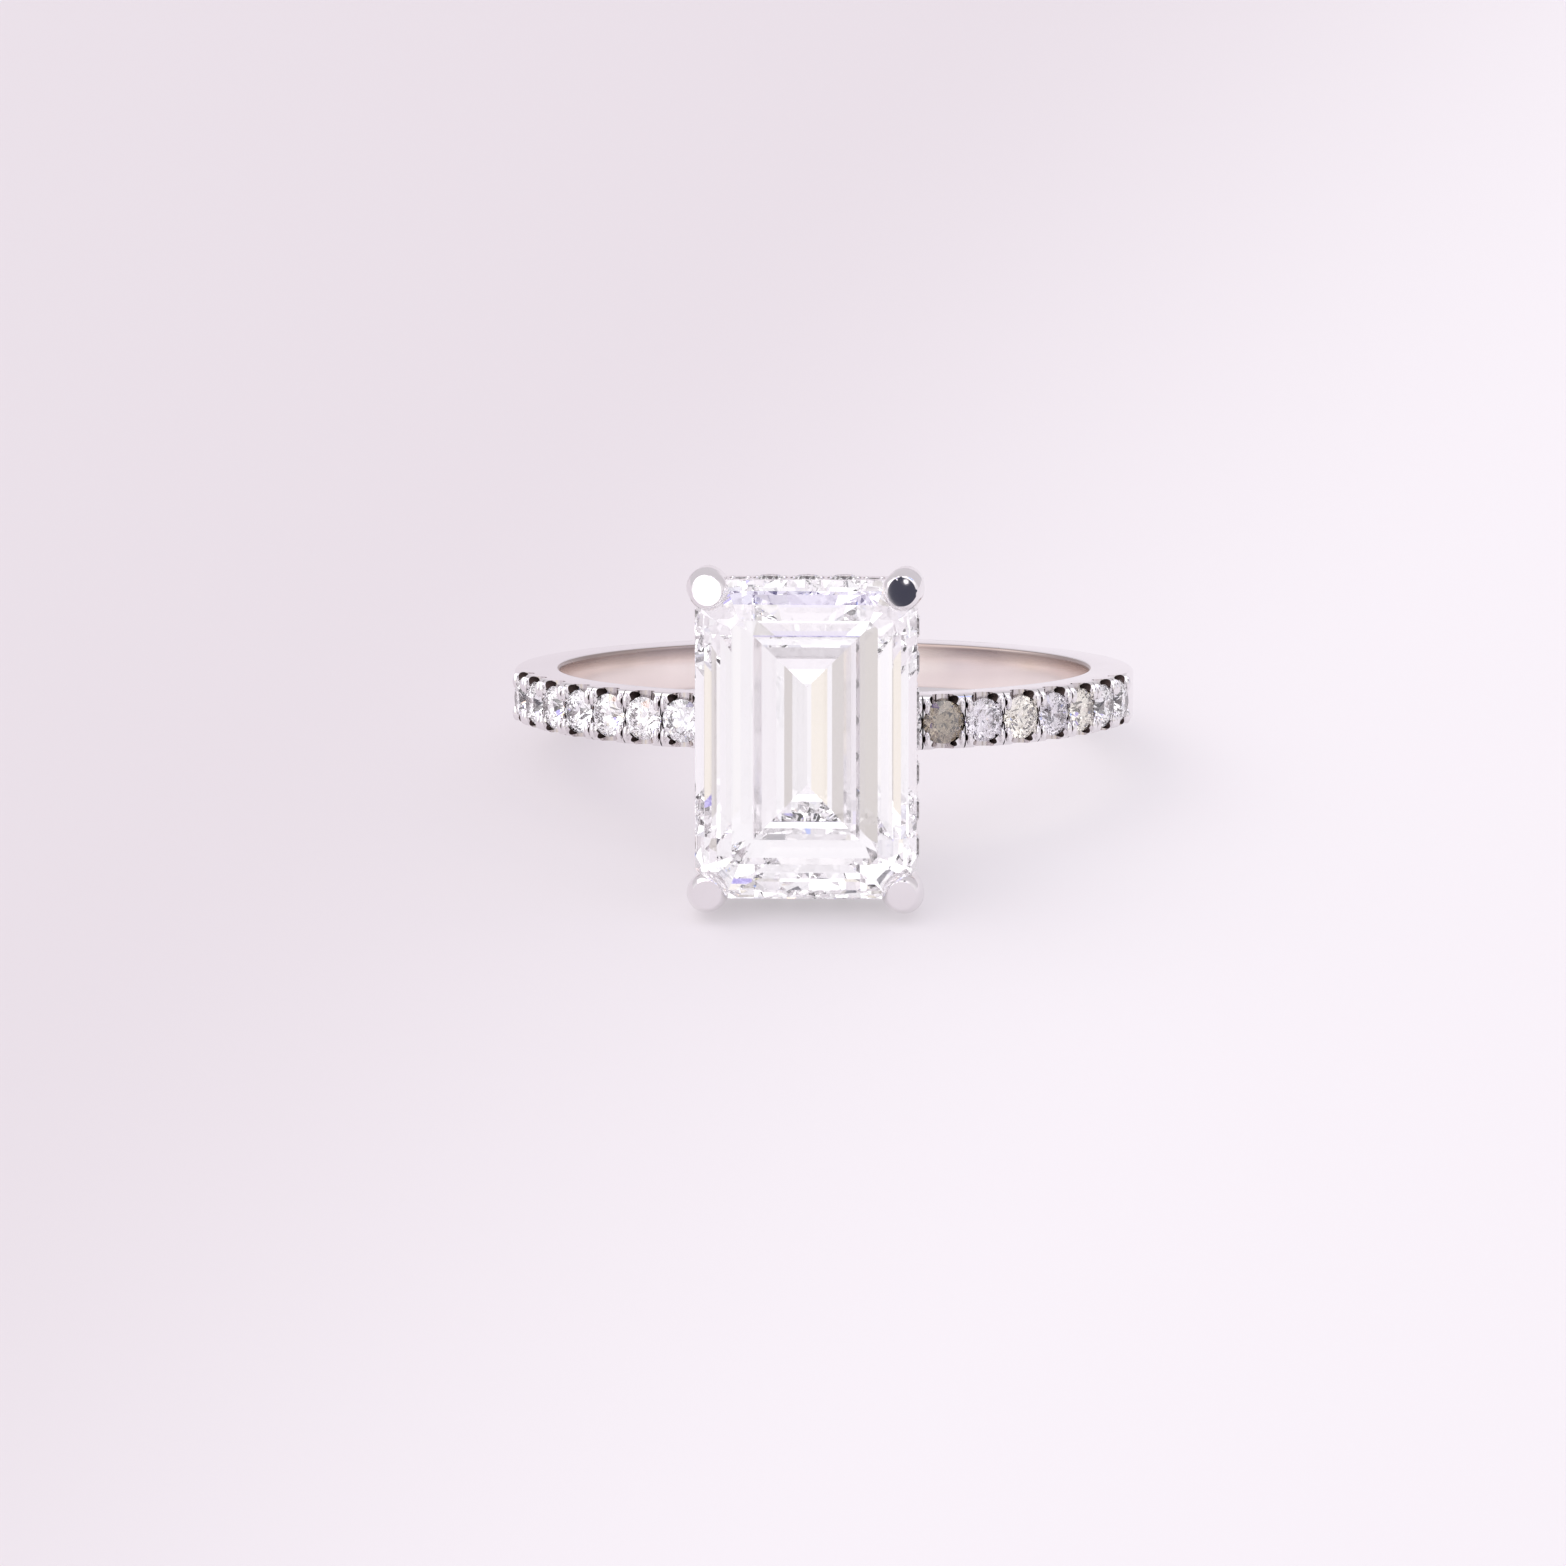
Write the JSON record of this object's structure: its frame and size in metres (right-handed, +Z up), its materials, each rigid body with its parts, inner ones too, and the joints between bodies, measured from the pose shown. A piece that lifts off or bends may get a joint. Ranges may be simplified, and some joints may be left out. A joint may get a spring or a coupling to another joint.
{
  "type": "engagement ring",
  "caption": "Finger ring: a large rectangular step-cut stone in a claw basket over a hidden halo, on a narrow band whose shoulders are set with small round stones.",
  "frame": {"origin": "the middle of the whole box's underside, on the plane that the ring lies on", "axes": "+Y from the centre stone to the back of the band, the longest extent; +Z up from the plane, the shortest extent; +X across the band"},
  "size_m": [0.0194, 0.0252, 0.0104],
  "materials": {
    "white_gold": "polished white gold",
    "centre_diamond": "polished facets",
    "small_diamond": "polished facets"
  },
  "bodies": {
    "root": {"band": "white_gold", "base_rail": "white_gold", "centre_stone": "centre_diamond", "claw_lower_left": "white_gold", "claw_lower_right": "white_gold", "claw_upper_left": "white_gold", "claw_upper_right": "white_gold", "halo_rail": "white_gold", "halo_stone_01": "small_diamond", "halo_stone_02": "small_diamond", "halo_stone_03": "small_diamond", "halo_stone_04": "small_diamond", "halo_stone_05": "small_diamond", "halo_stone_06": "small_diamond", "halo_stone_07": "small_diamond", "halo_stone_08": "small_diamond", "halo_stone_09": "small_diamond", "halo_stone_10": "small_diamond", "halo_stone_11": "small_diamond", "halo_stone_12": "small_diamond", "halo_stone_13": "small_diamond", "halo_stone_14": "small_diamond", "halo_stone_15": "small_diamond", "halo_stone_16": "small_diamond", "halo_stone_17": "small_diamond", "halo_stone_18": "small_diamond", "halo_stone_19": "small_diamond", "halo_stone_20": "small_diamond", "halo_stone_21": "small_diamond", "halo_stone_22": "small_diamond", "halo_stone_23": "small_diamond", "halo_stone_24": "small_diamond", "shoulder_stone_left_1": "small_diamond", "shoulder_stone_left_2": "small_diamond", "shoulder_stone_left_3": "small_diamond", "shoulder_stone_left_4": "small_diamond", "shoulder_stone_left_5": "small_diamond", "shoulder_stone_left_6": "small_diamond", "shoulder_stone_left_7": "small_diamond", "shoulder_stone_left_8": "small_diamond", "shoulder_stone_right_1": "small_diamond", "shoulder_stone_right_2": "small_diamond", "shoulder_stone_right_3": "small_diamond", "shoulder_stone_right_4": "small_diamond", "shoulder_stone_right_5": "small_diamond", "shoulder_stone_right_6": "small_diamond", "shoulder_stone_right_7": "small_diamond", "shoulder_stone_right_8": "small_diamond"}
  },
  "joints": []
}
